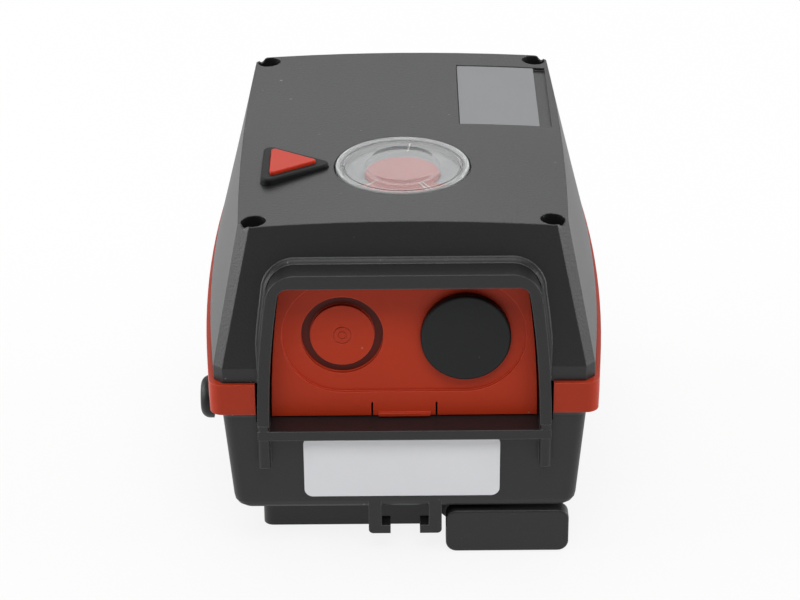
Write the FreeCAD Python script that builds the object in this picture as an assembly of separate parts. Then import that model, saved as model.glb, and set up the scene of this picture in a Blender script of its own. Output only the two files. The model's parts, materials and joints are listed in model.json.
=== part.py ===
import FreeCAD, Part
import math
import os

# Quarter-turn motorised valve actuator with a hand lever under its casing.
# Origin: on the output axis, in the plane of the base.  +Z is up and the cable-entry end faces -Y.
# All values are millimetres and degrees.

V = FreeCAD.Vector

# ---- overall casing ----------------------------------------------------------------------
HALF_WIDTH = 51.8            # output axis to the widest point of the colour band
FRONT_REACH = 43.9           # output axis to the front of the band
REAR_REACH = 80.4            # output axis to the rear of the band
SIDE_RADIUS = 540.0          # barrel of the long sides, in plan
TOP_SIDE_RADIUS = 1200.0     # the same at the top of the cover
CROWN_RADIUS = 600.0         # crown of the top face, across the width
BASE_DEPTH = 14.0            # casing floor above the base plane
LOWER_DEPTH = 29.1           # lower casing, floor to band
BAND_DEPTH = 8.4
COVER_DEPTH = 39.4           # upper cover, band to the top of its crown
SKIRT_DEPTH = 4.0            # upright foot of the cover
WALL = 2.5                   # casing wall
LIP_DEPTH = 1.6              # bevelled lip of the lower casing

# Insets from the band's outline: (side, front, rear)
SKIRT_INSET = (1.2, 1.2, 1.2)
COVER_TOP_INSET = (10.7, 11.8, 6.6)
LIP_TOP_INSET = (0.8, 0.8, 0.8)
LIP_FOOT_INSET = (3.1, 1.6, 3.1)
FLOOR_INSET = (5.2, 2.3, 5.2)
FLOOR_EDGE_INSET = (3.4, 1.3, 1.3)
FLOOR_EDGE = 3.4             # height of the lower casing's rounded bottom edge
BAND_WIDTH = 4.2
BAND_CORNER = 3.2
COVER_CORNER = 2.9
LOWER_CORNER = 2.6

# ---- cable-entry recess ------------------------------------------------------------------
HOOD_TOP = 81.2
HOOD_FOOT = 40.1             # parting of the hood's legs and the sill's posts
HOOD_MARGIN = 15.1           # hood's legs inside the band's widest point
HOOD_BOW = 235.0             # radius of the legs' inward curve
HOOD_RIM = 2.9               # width of the legs
HOOD_TOP_RIM = 3.6
HOOD_CORNER = 7.5
HOOD_SETBACK = 1.2           # rim's top behind the front of the band
HOOD_PROUD = 0.9             # rim's foot ahead of the front of the band
HOOD_LENGTH = 14.4
SILL_TOP = 38.6
SILL_DEPTH = 2.6
RIB_FOOT = 27.9
PANEL_SETBACK = 6.4          # panel's lower edge behind the front of the band
PANEL_LEAN = 5.5
PANEL_THICK = 3.0
ENTRY_X = 15.4
ENTRY_RISE = 21.6            # entry centre above the panel's lower edge
ENTRY_BORE = 10.1            # radius of an M20 clearance entry
TRACK_RADIUS = 15.1
TRACK_DEPTH = 0.9
PLUG_RADIUS = 11.3
LABEL_X = (-25.5, 24.0)
LABEL_Z = (17.8, 35.6)

# ---- top face ----------------------------------------------------------------------------
SCREW_MARGIN = (15.0, 14.4, 9.7)    # cover screws inside the band's outline: side, front, rear
SCREW_HEAD = 3.0
SCREW_SHANK = 1.75
BOSS_RADIUS = 4.5
LENS_RADIUS = 17.4
LENS_MARKS = (90.0, 216.0, 321.0, 328.0)
DISC_MARGIN = 2.5            # indicator disc inside the lens
DISC_THICK = 1.2
BUTTON_TRAVEL = 3.0
BEZEL_MARGIN = 2.1           # raised surround beyond the triangular button
PLATE_X = (15.3, 36.4)       # name plate
PLATE_MARGIN = (54.4, 15.2)  # its ends ahead of the rear of the band
SIDE_PLUG_Y = -13.5
SIDE_PLUG_Z = 31.0
SIDE_PLUG_RADIUS = 5.6
SIDE_PLUG_HEAD = 3.4
SIDE_BOSS_MARGIN = 2.2       # plug's boss inside the band's widest point

# ---- drive -------------------------------------------------------------------------------
MODULE = 1.0
ADDENDUM = 0.75
DEDENDUM = 1.1
PRESSURE = 20.0
BACKLASH = 0.16
OUTPUT_TEETH = 48
PINION_TEETH = 12
WHEEL_TEETH = 26
MOTOR_TEETH = 12
MOTOR_ANGLE = 52.0           # direction from the clutch axle to the motor pinion
GEAR_RISE = 14.0             # output gear above the casing floor
GEAR_FACE = 5.0
MESH_OVERLAP = 2.7           # axial engagement of the clutch pinion at rest
PINION_FACE = 5.8
WHEEL_FACE = 4.0
AXIAL_GAP = 0.6
GEAR_PLATE_THICK = 2.0
ROD_RADIUS = 2.5
ROD_WELL = 0.8               # floor left under the clutch axle's guide
MOTOR_SHAFT_RADIUS = 2.0
RUNNING = 0.05               # radial running clearance
CAM_PITCH = 5.6
CAM_THICK = 4.0
SWITCH_X = (16.0, 27.0)
SWITCH_HALF = 10.0
SWITCH_SCREW = (22.0, 7.0)   # switch screws: x, and y either side of the axis

# ---- output, lever, base -----------------------------------------------------------------
COUPLING_RADIUS = 10.0
SOCKET_RADIUS = 5.0
SOCKET_DEPTH = 12.0
SHAFT_RADIUS = 6.0
SPINDLE_RADIUS = 5.0
HUB_WALL = 3.5
LEVER_ANGLE = -57.0          # lever arm's direction at rest
LEVER_WIDTH = 12.0
LEVER_Z = (2.0, 11.0)
GRIP_X = (10.4, 41.9)
GRIP_SETBACK = 2.6           # grip behind the front of the band
GRIP_THICK = 4.0
GRIP_Z = (0.3, 12.6)
GRIP_CORNER = 2.8
POST_HALF = 9.35
POST_WALL = 3.3
POST_THICK = 4.5
POST_FOOT_Z = 6.2
SLOT_MOUTH = 7.5
SLOT_FOOT_THICK = 2.4
FOOT_MARGIN = (14.8, 16.4, 11.0)    # base foot inside the band's outline: side, front, rear
FOOT_STEP = 20.0             # depth of the foot's rear part on the lever's side
FOOT_WALL = 3.0
FOOT_SCREW_SHANK = 1.5
FOOT_SCREW_HEAD = 2.5

# ---- chassis and electrics ---------------------------------------------------------------
CHASSIS_MARGIN = (9.8, 17.0)        # gear plate inside the band's outline: side, rear
BOARD_RISE = 10.0
BOARD_THICK = 1.6
MOTOR_RADIUS = 23.0
MOTOR_HEIGHT = 18.0
GEARHEAD_X = (-26.0, 24.0)
GEARHEAD_FRONT = 8.0
GEARHEAD_HEIGHT = 8.0
CAPACITOR = (33.0, 34.0, 7.0, 22.0)  # x, y, radius, height
TERMINAL_X = (-16.0, 24.0)
TERMINAL_COUNT = 8
TERMINAL_DEPTH = 10.0
TERMINAL_HEIGHT = 10.0

# ---- worked-out levels -------------------------------------------------------------------
FLOOR_Z = BASE_DEPTH
FLOOR_TOP = FLOOR_Z + WALL
BAND_Z = FLOOR_Z + LOWER_DEPTH
BAND_TOP = BAND_Z + BAND_DEPTH
CROWN_Z = BAND_TOP + COVER_DEPTH
GEAR_Z = FLOOR_Z + GEAR_RISE
PINION_LOW = GEAR_Z + MESH_OVERLAP - PINION_FACE
WHEEL_Z = GEAR_Z + GEAR_FACE + BUTTON_TRAVEL + AXIAL_GAP
PLATE_Z = WHEEL_Z + WHEEL_FACE + 0.8
PLATE_TOP = PLATE_Z + GEAR_PLATE_THICK
GEARHEAD_TOP = PLATE_TOP + GEARHEAD_HEIGHT
SPRING_TOP = PLATE_TOP + 16.5
ROD_FOOT = FLOOR_Z + ROD_WELL + BUTTON_TRAVEL + 0.4
BOARD_Z = PLATE_TOP + BOARD_RISE
BOARD_TOP = BOARD_Z + BOARD_THICK
CAM_Z = BOARD_TOP + 1.8
TERMINAL_TOP = BOARD_TOP + TERMINAL_HEIGHT
SCREW_SEAT = BAND_TOP + 10.0
BEZEL_TOP = CROWN_Z + 0.9
BEZEL_FOOT = CROWN_Z - 4.4
LENS_SEAT = CROWN_Z - 2.1
DISC_Z = CROWN_Z - 4.9

# ---- worked-out positions ----------------------------------------------------------------
MIDDLE_Y = (REAR_REACH - FRONT_REACH) / 2
HOOD_HALF = HALF_WIDTH - HOOD_MARGIN
HOOD_FRONT_TOP = FRONT_REACH - HOOD_SETBACK
HOOD_FRONT_FOOT = FRONT_REACH + HOOD_PROUD
HOOD_BACK = FRONT_REACH - HOOD_LENGTH
LEG_BACK = -FRONT_REACH + LIP_FOOT_INSET[1] + WALL + 1.3
PANEL_FRONT = FRONT_REACH - PANEL_SETBACK
PANEL_BACK = -PANEL_FRONT + PANEL_THICK
CLUTCH_DISTANCE = MODULE * (OUTPUT_TEETH + PINION_TEETH) / 2
MOTOR_DISTANCE = MODULE * (WHEEL_TEETH + MOTOR_TEETH) / 2
CLUTCH_X = -CLUTCH_DISTANCE         # also the centre of the release button
MOTOR_X = CLUTCH_X + MOTOR_DISTANCE * math.cos(math.radians(MOTOR_ANGLE))
MOTOR_Y = MOTOR_DISTANCE * math.sin(math.radians(MOTOR_ANGLE))
DISC_RADIUS = LENS_RADIUS - DISC_MARGIN
PLATE_Y = (REAR_REACH - PLATE_MARGIN[0], REAR_REACH - PLATE_MARGIN[1])
SIDE_BOSS_X = HALF_WIDTH - SIDE_BOSS_MARGIN
SCREW_X = HALF_WIDTH - SCREW_MARGIN[0]
SCREW_FRONT = FRONT_REACH - SCREW_MARGIN[1]
SCREW_REAR = REAR_REACH - SCREW_MARGIN[2]
HUB_RADIUS = COUPLING_RADIUS + HUB_WALL
FOOT_BORE = HUB_RADIUS + 3.0
GRIP_FRONT = FRONT_REACH - GRIP_SETBACK
FOOT_HALF = HALF_WIDTH - FOOT_MARGIN[0]
FOOT_FRONT = FRONT_REACH - FOOT_MARGIN[1]
FOOT_REAR = REAR_REACH - FOOT_MARGIN[2]
FOOT_STEP_Y = FOOT_REAR - FOOT_STEP
CHASSIS_HALF = HALF_WIDTH - CHASSIS_MARGIN[0]
CHASSIS_REAR = REAR_REACH - CHASSIS_MARGIN[1]
CHASSIS_FRONT = PANEL_BACK + 1.3
GEARHEAD_REAR = CHASSIS_REAR + 0.6
MOTOR_CENTRE = (0.0, GEARHEAD_REAR - MOTOR_RADIUS - 1.0)
BOARD_FRONT = PANEL_BACK + 4.5
BOARD_REAR = -13.0
TERMINAL_Y = (BOARD_FRONT + 0.6, BOARD_FRONT + 0.6 + TERMINAL_DEPTH)
COVER_SCREWS = [(x, y) for x in (-SCREW_X, SCREW_X) for y in (-SCREW_FRONT, SCREW_REAR)]
PLATE_PILLARS = [
    (-27.0, PANEL_BACK + 5.5),
    (CHASSIS_HALF - 5.0, -12.0),
    (-CHASSIS_HALF + 5.0, CHASSIS_REAR - 8.0),
    (CHASSIS_HALF - 5.0, CHASSIS_REAR - 8.0),
]
BOARD_PILLARS = [(-21.0, BOARD_FRONT + 7.0), (28.0, BOARD_FRONT + 7.0), (36.5, 2.0), (30.0, 14.0)]
GEARHEAD_SCREWS = [(GEARHEAD_X[0] + 4, GEARHEAD_REAR - 4), (GEARHEAD_X[1] - 4, GEARHEAD_REAR - 4)]
FOOT_SCREWS = [
    (-COUPLING_RADIUS, -FOOT_FRONT + 5.5),
    (-FOOT_HALF + 9.0, 30.0),
    (-FOOT_HALF + 9.0, FOOT_REAR - 8.0),
    (FOOT_HALF - 9.0, FOOT_REAR - 10.0),
]


# ---- small helpers -----------------------------------------------------------------------
def box(x, y, z):
    """Box from three (low, high) pairs."""
    return Part.makeBox(x[1] - x[0], y[1] - y[0], z[1] - z[0], V(x[0], y[0], z[0]))


def rod(radius, low, high, x=0.0, y=0.0):
    return Part.makeCylinder(radius, high - low, V(x, y, low))


def tube(outer, inner, low, high, x=0.0, y=0.0):
    return rod(outer, low, high, x, y).cut(rod(inner, low - 1, high + 1, x, y))


def rod_between(radius, start, end):
    run = V(*end) - V(*start)
    return Part.makeCylinder(radius, run.Length, V(*start), run)


def prism(points, low, high):
    """Upright prism over a plan polygon."""
    ring = [V(x, y, low) for x, y in points]
    face = Part.Face(Part.makePolygon(ring + ring[:1]))
    return face.extrude(V(0, 0, high - low))


def side_prism(points, left, right):
    """Prism along X over a polygon of (y, z) points."""
    ring = [V(left, y, z) for y, z in points]
    face = Part.Face(Part.makePolygon(ring + ring[:1]))
    return face.extrude(V(right - left, 0, 0))


def round_edges(shape, radius, wanted):
    """Round every straight edge whose direction and middle the test accepts."""
    chosen = []
    for edge in shape.Edges:
        a = edge.valueAt(edge.FirstParameter)
        b = edge.valueAt(edge.LastParameter)
        if (b - a).Length > 1e-6 and wanted((b - a).normalize(), (a + b) * 0.5):
            chosen.append(edge)
    return shape.makeFillet(radius, chosen)


def along_y(direction, _middle):
    return abs(direction.y) > 0.99


def along_z(direction, _middle):
    return abs(direction.z) > 0.99


def fuse(shapes):
    whole = shapes[0]
    for shape in shapes[1:]:
        whole = whole.fuse(shape)
    return whole.removeSplitter()


def group(shapes):
    return Part.makeCompound(shapes)


def turned(shape, angle):
    """Copy turned about the output axis."""
    copy = shape.copy()
    copy.rotate(V(0, 0, 0), V(0, 0, 1), angle)
    return copy


def save(name, shape):
    shape.exportStep("parts/%s.step" % name)


# ---- casing outline ----------------------------------------------------------------------
def side_at(half_width, radius, y):
    """Half-width of a barrelled side at station y."""
    return half_width - radius + math.sqrt(radius ** 2 - (y - MIDDLE_Y) ** 2)


def outline(z, inset, corner, flat_corners=False):
    """Closed barrel-sided wire at height z, drawn in from the band's outline by inset."""
    side, front, rear = inset
    half = HALF_WIDTH - side
    y_front = -FRONT_REACH + front
    y_rear = REAR_REACH - rear
    radius = TOP_SIDE_RADIUS if z > CROWN_Z else SIDE_RADIUS
    x_front = side_at(half, radius, y_front + corner)
    x_rear = side_at(half, radius, y_rear - corner)
    bulge = corner * (1 - math.sqrt(0.5))

    def mirror(point):
        return V(-point.x, point.y, point.z)

    def corner_edge(start, middle, end):
        if flat_corners:
            return Part.LineSegment(start, end).toShape()
        return Part.Arc(start, middle, end).toShape()

    front_right = V(x_front - corner, y_front, z)
    front_bend = V(x_front - bulge, y_front + bulge, z)
    side_start = V(x_front, y_front + corner, z)
    side_middle = V(half, MIDDLE_Y, z)
    side_end = V(x_rear, y_rear - corner, z)
    rear_bend = V(x_rear - bulge, y_rear - bulge, z)
    rear_right = V(x_rear - corner, y_rear, z)
    edges = [
        Part.LineSegment(mirror(front_right), front_right).toShape(),
        corner_edge(front_right, front_bend, side_start),
        Part.Arc(side_start, side_middle, side_end).toShape(),
        corner_edge(side_end, rear_bend, rear_right),
        Part.LineSegment(rear_right, mirror(rear_right)).toShape(),
        corner_edge(mirror(rear_right), mirror(rear_bend), mirror(side_end)),
        Part.Arc(mirror(side_end), mirror(side_middle), mirror(side_start)).toShape(),
        corner_edge(mirror(side_start), mirror(front_bend), mirror(front_right)),
    ]
    return Part.Wire(edges)


def grown(inset, amount):
    return tuple(value + amount for value in inset)


def shell_loft(sections, flat_corners=False):
    """Ruled solid through (z, inset, corner) sections."""
    wires = [outline(z, inset, corner, flat_corners) for z, inset, corner in sections]
    return Part.makeLoft(wires, True, True)


def crown(drop, half_length=200.0):
    """Everything under the crowned top surface, lowered by drop."""
    centre = V(0, -half_length, CROWN_Z - CROWN_RADIUS)
    return Part.makeCylinder(CROWN_RADIUS - drop, 2 * half_length, centre, V(0, 1, 0))


def wall_front(z):
    """Y of the lower casing's front wall at height z."""
    foot = -FRONT_REACH + FLOOR_INSET[1]
    top = -FRONT_REACH + LIP_FOOT_INSET[1]
    share = (z - FLOOR_Z) / (LOWER_DEPTH - LIP_DEPTH)
    return foot + (top - foot) * share


# ---- recess in the cable-entry end -------------------------------------------------------
def hood_half(z):
    """Half-width of the hood: upright at the sill, curving inwards towards its top."""
    return HOOD_HALF - HOOD_BOW + math.sqrt(HOOD_BOW ** 2 - (z - SILL_TOP) ** 2)


def bowed_face(low, high, margin, y):
    """Front view of the hood between two levels, drawn in by margin at the sides."""
    def point(side, z):
        return V(side * (hood_half(z) - margin), y, z)

    middle = (low + high) / 2
    return Part.Face(Part.Wire([
        Part.LineSegment(point(-1, low), point(1, low)).toShape(),
        Part.Arc(point(1, low), point(1, middle), point(1, high)).toShape(),
        Part.LineSegment(point(1, high), point(-1, high)).toShape(),
        Part.Arc(point(-1, high), point(-1, middle), point(-1, low)).toShape(),
    ]))


def hood_front(z):
    """Y of the rim's front face at height z."""
    share = (z - HOOD_FOOT) / (HOOD_TOP - HOOD_FOOT)
    return -HOOD_FRONT_FOOT + (HOOD_FRONT_FOOT - HOOD_FRONT_TOP) * share


def bowed_block(low, high, margin, back, corner):
    """Block over the hood's front view with its two top corners rounded."""
    front = -FRONT_REACH - 16.0
    block = bowed_face(low, high, margin, front).extrude(V(0, back - front, 0))

    def top_corner(direction, middle):
        return abs(direction.y) > 0.99 and middle.z > high - 1

    return round_edges(block, corner, top_corner)


def hood_block():
    """Solid hood: the front view cut to the slope of its rim and to the depth of its legs."""
    block = bowed_block(HOOD_FOOT, HOOD_TOP, 0.0, 0.0, HOOD_CORNER)
    side = side_prism(
        [
            (hood_front(HOOD_FOOT), HOOD_FOOT),
            (LEG_BACK, HOOD_FOOT),
            (LEG_BACK, BAND_TOP),
            (-HOOD_BACK, BAND_TOP),
            (-HOOD_BACK, HOOD_TOP + 1),
            (hood_front(HOOD_TOP + 1), HOOD_TOP + 1),
        ],
        -HALF_WIDTH,
        HALF_WIDTH,
    )
    return block.common(side)


def recess_opening():
    return bowed_block(SILL_TOP, HOOD_TOP - HOOD_TOP_RIM, HOOD_RIM, -HOOD_BACK + 6.0, 2.4)


# ---- casing ------------------------------------------------------------------------------
def cover_sections(extra, low):
    skirt_top = BAND_TOP + SKIRT_DEPTH
    return [
        (low, grown(SKIRT_INSET, extra), COVER_CORNER - 0.6),
        (skirt_top, grown(SKIRT_INSET, extra), COVER_CORNER - 0.6),
        (CROWN_Z + 1.0, grown(COVER_TOP_INSET, extra), COVER_CORNER),
    ]


def button_triangle(margin):
    """Plan triangle of the release button, pointing at the output axis, grown by margin."""
    base_x = CLUTCH_X - 3.7 - margin
    tip_x = CLUTCH_X + 8.6 + 2.0 * margin
    half = 7.9 + 1.7 * margin
    return [(base_x, -half), (tip_x, 0.0), (base_x, half)]


def triangle_prism(margin, radius, low, high):
    return round_edges(prism(button_triangle(margin), low, high), radius, along_z)


def upper_cover():
    envelope = shell_loft(cover_sections(0.0, BAND_TOP), True).common(crown(0.0))
    hollow = shell_loft(cover_sections(WALL, BAND_TOP - 1), True).common(crown(WALL))
    cover = envelope.cut(hollow).fuse(hood_block())
    for x, y in COVER_SCREWS:
        cover = cover.fuse(rod(BOSS_RADIUS, BAND_TOP, CROWN_Z + 1, x, y).common(envelope))
    seat_ring = rod(LENS_RADIUS + 2.4, LENS_SEAT - 1.8, CROWN_Z - WALL)
    cover = cover.fuse(seat_ring).cut(recess_opening())
    for x, y in COVER_SCREWS:
        cover = cover.cut(rod(SCREW_HEAD + 0.15, SCREW_SEAT, CROWN_Z + 2, x, y))
        cover = cover.cut(rod(SCREW_SHANK + 0.35, BAND_TOP - 1, SCREW_SEAT + 1, x, y))
    cover = cover.cut(rod(LENS_RADIUS + 0.2, LENS_SEAT, CROWN_Z + 2))
    cover = cover.cut(rod(DISC_RADIUS + 0.8, LENS_SEAT - 3, LENS_SEAT + 1))
    cover = cover.cut(triangle_prism(BEZEL_MARGIN + 0.1, 2.0, BEZEL_FOOT - 2, CROWN_Z + 2))
    recess = box((PLATE_X[0] - 0.2, PLATE_X[1] + 3.2), (PLATE_Y[0] - 0.2, PLATE_Y[1] + 0.2),
                 (CROWN_Z - 5, CROWN_Z + 1))
    return cover.cut(recess.cut(crown(0.9)))


def front_gap(low, high):
    """Room for the hood's legs between the ends of the band."""
    half = hood_half(BAND_Z) + 0.45
    back = -SCREW_FRONT - BOSS_RADIUS + 2
    return box((-half, half), (-FRONT_REACH - 2, back), (low, high))


def colour_band():
    outer = shell_loft([(BAND_Z, (0, 0, 0), BAND_CORNER), (BAND_TOP, (0, 0, 0), BAND_CORNER)])
    inset = (BAND_WIDTH,) * 3
    inner = shell_loft([(BAND_Z - 1, inset, 2.0), (BAND_TOP + 1, inset, 2.0)])
    band = outer.cut(inner).cut(front_gap(BAND_Z - 1, BAND_TOP + 1))
    return band.cut(gasket_ring(0.05, BAND_TOP + 1))


def gasket_ring(slack, top):
    outer = grown((1.9,) * 3, -slack)
    inner = grown((3.3,) * 3, slack)
    low = BAND_TOP - 1.0
    ring = shell_loft([(low, outer, 2.2), (top, outer, 2.2)])
    return ring.cut(shell_loft([(low - 1, inner, 1.5), (top + 1, inner, 1.5)]))


def cover_gasket():
    return gasket_ring(0.0, BAND_TOP).cut(front_gap(BAND_Z, BAND_TOP + 1))


def lower_sections(extra):
    """Sections of the lower casing, its bottom edge rounded in four steps."""
    sections = []
    for step in range(5):
        angle = math.radians(22.5 * step)
        share = 1 - math.sin(angle)
        z = FLOOR_Z + FLOOR_EDGE * (1 - math.cos(angle))
        inset = tuple(a + b * share + extra for a, b in zip(FLOOR_INSET, FLOOR_EDGE_INSET))
        sections.append((z, inset, LOWER_CORNER))
    lip_foot = BAND_Z - LIP_DEPTH
    sections.append((lip_foot, grown(LIP_FOOT_INSET, extra), LOWER_CORNER))
    sections.append((BAND_Z, grown(LIP_TOP_INSET, extra), LOWER_CORNER))
    return sections


def lower_hollow():
    foot = grown(FLOOR_INSET, WALL)
    top = grown(LIP_FOOT_INSET, WALL)
    return shell_loft([
        (FLOOR_TOP, foot, 1.5),
        (BAND_Z - LIP_DEPTH, top, 1.5),
        (BAND_Z + 1, top, 1.5),
    ])


def sill():
    """Bottom bar of the recess, with the posts that carry the hood's legs on."""
    bar = box((-HOOD_HALF, HOOD_HALF), (hood_front(SILL_TOP), PANEL_BACK),
              (SILL_TOP - SILL_DEPTH, SILL_TOP))
    pieces = [bar]
    for side in (-1, 1):
        xs = sorted((side * (HOOD_HALF - HOOD_RIM), side * HOOD_HALF))
        post = box(xs, (hood_front(HOOD_FOOT), wall_front(RIB_FOOT) + 1),
                   (RIB_FOOT, HOOD_FOOT - 0.1))
        pieces.append(round_edges(post, 0.9, along_z))
    return fuse(pieces)


def catch_posts():
    """Pair of hooked posts under the front edge, forming an inverted T-slot."""
    front = -FRONT_REACH + FLOOR_INSET[1] + 0.1
    depth = (front, front + POST_THICK)
    pieces = []
    for side in (-1, 1):
        xs = sorted((side * (POST_HALF - POST_WALL), side * POST_HALF))
        feet = sorted((side * SLOT_MOUTH / 2, side * POST_HALF))
        wall = box(xs, depth, (POST_FOOT_Z, FLOOR_TOP))
        foot = box(feet, depth, (POST_FOOT_Z, POST_FOOT_Z + SLOT_FOOT_THICK))
        post = wall.fuse(foot).removeSplitter()

        def outer_heel(direction, middle):
            low = middle.z < POST_FOOT_Z + 0.1 and abs(middle.x) > POST_HALF - 0.1
            return low and along_y(direction, middle)

        pieces.append(round_edges(post, 1.2, outer_heel))
    return pieces


def lower_casing():
    envelope = shell_loft(lower_sections(0.0))
    hollow = lower_hollow()
    casing = envelope.cut(hollow).fuse(sill())
    for x, y in COVER_SCREWS:
        foot = rod(BOSS_RADIUS, FLOOR_Z, BAND_Z - LIP_DEPTH, x, y).common(envelope)
        head = rod(BOSS_RADIUS, BAND_Z - LIP_DEPTH, BAND_TOP, x, y)
        casing = casing.fuse(foot).fuse(head)
    casing = casing.fuse(rod(5.0, FLOOR_TOP - 1, PINION_LOW - BUTTON_TRAVEL - 1.0, CLUTCH_X, 0.0))
    side_boss = rod_between(4.4, (-SIDE_BOSS_X, SIDE_PLUG_Y, SIDE_PLUG_Z),
                            (-SIDE_BOSS_X + 5.4, SIDE_PLUG_Y, SIDE_PLUG_Z))
    casing = fuse([casing, side_boss] + catch_posts())
    half = HOOD_HALF + 0.3
    ahead = -FRONT_REACH - 16.0
    casing = casing.cut(box((-half, half), (ahead, LEG_BACK + 0.5), (HOOD_FOOT - 0.1, BAND_TOP + 9)))
    casing = casing.cut(box((-HOOD_HALF + HOOD_RIM, HOOD_HALF - HOOD_RIM),
                            (ahead, PANEL_BACK), (SILL_TOP, BAND_TOP + 9)))
    casing = casing.cut(rod(COUPLING_RADIUS + 2.0, FLOOR_Z - 1, FLOOR_TOP + 1))
    casing = casing.cut(rod(ROD_RADIUS + RUNNING, FLOOR_Z + ROD_WELL, FLOOR_TOP + 20, CLUTCH_X, 0.0))
    casing = casing.cut(rod_between(3.05, (-SIDE_BOSS_X - 10, SIDE_PLUG_Y, SIDE_PLUG_Z),
                                    (-SIDE_BOSS_X + 10, SIDE_PLUG_Y, SIDE_PLUG_Z)))
    for x, y in COVER_SCREWS:
        casing = casing.cut(rod(SCREW_SHANK + 0.02, BAND_TOP - 24, BAND_TOP + 1, x, y))
    for x, y in FOOT_SCREWS:
        casing = casing.cut(rod(FOOT_SCREW_SHANK + 0.05, FLOOR_Z - 1, FLOOR_TOP + 1, x, y))
    return casing


def side_plug():
    head = rod_between(SIDE_PLUG_RADIUS, (-SIDE_BOSS_X - 0.05, SIDE_PLUG_Y, SIDE_PLUG_Z),
                       (-SIDE_BOSS_X - SIDE_PLUG_HEAD, SIDE_PLUG_Y, SIDE_PLUG_Z))
    end = -SIDE_BOSS_X - SIDE_PLUG_HEAD
    outer = [e for e in head.Edges if abs(e.CenterOfMass.x - end) < 0.01]
    head = head.makeFillet(2.4, outer)
    stem = rod_between(3.0, (-SIDE_BOSS_X - 1, SIDE_PLUG_Y, SIDE_PLUG_Z),
                       (-SIDE_BOSS_X + 5.0, SIDE_PLUG_Y, SIDE_PLUG_Z))
    return fuse([head, stem])


def on_panel(shape):
    """Place a piece drawn with the panel's lower front edge at the origin."""
    copy = shape.copy()
    copy.rotate(V(0, 0, 0), V(1, 0, 0), -PANEL_LEAN)
    heel = PANEL_THICK * math.sin(math.radians(PANEL_LEAN))
    copy.translate(V(0, -PANEL_FRONT, SILL_TOP + heel + 0.05))
    return copy


def entry_panel():
    height = HOOD_TOP - HOOD_TOP_RIM - SILL_TOP - 1.0
    face = bowed_face(SILL_TOP, SILL_TOP + height, HOOD_RIM + 0.4, 0.0)
    panel = face.extrude(V(0, PANEL_THICK, 0))
    panel.translate(V(0, 0, -SILL_TOP))

    def across(radius, front, back, x):
        return rod_between(radius, (x, front, ENTRY_RISE), (x, back, ENTRY_RISE))

    band = box((-ENTRY_X, ENTRY_X), (-1, TRACK_DEPTH),
               (ENTRY_RISE - TRACK_RADIUS, ENTRY_RISE + TRACK_RADIUS))
    track = fuse([band] + [across(TRACK_RADIUS, -1, TRACK_DEPTH, x) for x in (-ENTRY_X, ENTRY_X)])
    panel = panel.cut(track).cut(across(ENTRY_BORE, -1, PANEL_THICK + 1, ENTRY_X))
    moat = across(ENTRY_BORE + 0.2, 0, TRACK_DEPTH + 1.3, -ENTRY_X)
    moat = moat.cut(across(8.0, -1, PANEL_THICK, -ENTRY_X))
    panel = panel.cut(moat)
    for radius in (1.0, 2.2):
        ring = across(radius + 0.15, 0, TRACK_DEPTH + 0.25, -ENTRY_X)
        panel = panel.cut(ring.cut(across(radius - 0.15, -1, PANEL_THICK, -ENTRY_X)))
    for x in (-8.1, 8.1):
        panel = panel.cut(box((x - 0.25, x + 0.25), (-1, PANEL_THICK + 1), (-1, 3.6)))
    lip = box((-6.5, 6.5), (-0.8, 0.5), (0, 0.9))
    return on_panel(fuse([panel, lip]))


def entry_plug():
    def across(radius, front, back):
        return rod_between(radius, (ENTRY_X, front, ENTRY_RISE), (ENTRY_X, back, ENTRY_RISE))

    head = across(PLUG_RADIUS, -1.7, TRACK_DEPTH)
    rim = [e for e in head.Edges if abs(e.CenterOfMass.y + 1.7) < 0.01]
    head = head.makeFillet(0.6, rim)
    sleeve = across(ENTRY_BORE - RUNNING, TRACK_DEPTH - 0.1, PANEL_THICK + 1.4)
    return on_panel(fuse([head, sleeve]).cut(across(ENTRY_BORE - 1.6, 0.8, PANEL_THICK + 3)))


def type_label():
    plate = box(LABEL_X, (-0.28, -0.02), (0, LABEL_Z[1] - LABEL_Z[0]))
    plate = round_edges(plate, 2.2, along_y)
    lean = math.degrees(math.atan((wall_front(FLOOR_Z) - wall_front(BAND_Z - LIP_DEPTH))
                                  / (LOWER_DEPTH - LIP_DEPTH)))
    plate.rotate(V(0, 0, 0), V(1, 0, 0), lean)
    plate.translate(V(0, wall_front(LABEL_Z[0]), LABEL_Z[0]))
    return plate


def name_plate():
    block = round_edges(box(PLATE_X, PLATE_Y, (CROWN_Z - 5, CROWN_Z + 1)), 0.5, along_z)
    return block.common(crown(0.2)).cut(crown(0.88))


def cover_screws():
    screws = []
    for x, y in COVER_SCREWS:
        head = rod(SCREW_HEAD, SCREW_SEAT + 0.02, SCREW_SEAT + 2.6, x, y)
        shank = rod(SCREW_SHANK, BAND_TOP - 22, SCREW_SEAT + 1, x, y)
        cross = fuse([
            box((x - 1.6, x + 1.6), (y - 0.35, y + 0.35), (SCREW_SEAT + 1.4, SCREW_SEAT + 4)),
            box((x - 0.35, x + 0.35), (y - 1.6, y + 1.6), (SCREW_SEAT + 1.4, SCREW_SEAT + 4)),
        ])
        screws.append(fuse([head, shank]).cut(cross))
    return group(screws)


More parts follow.
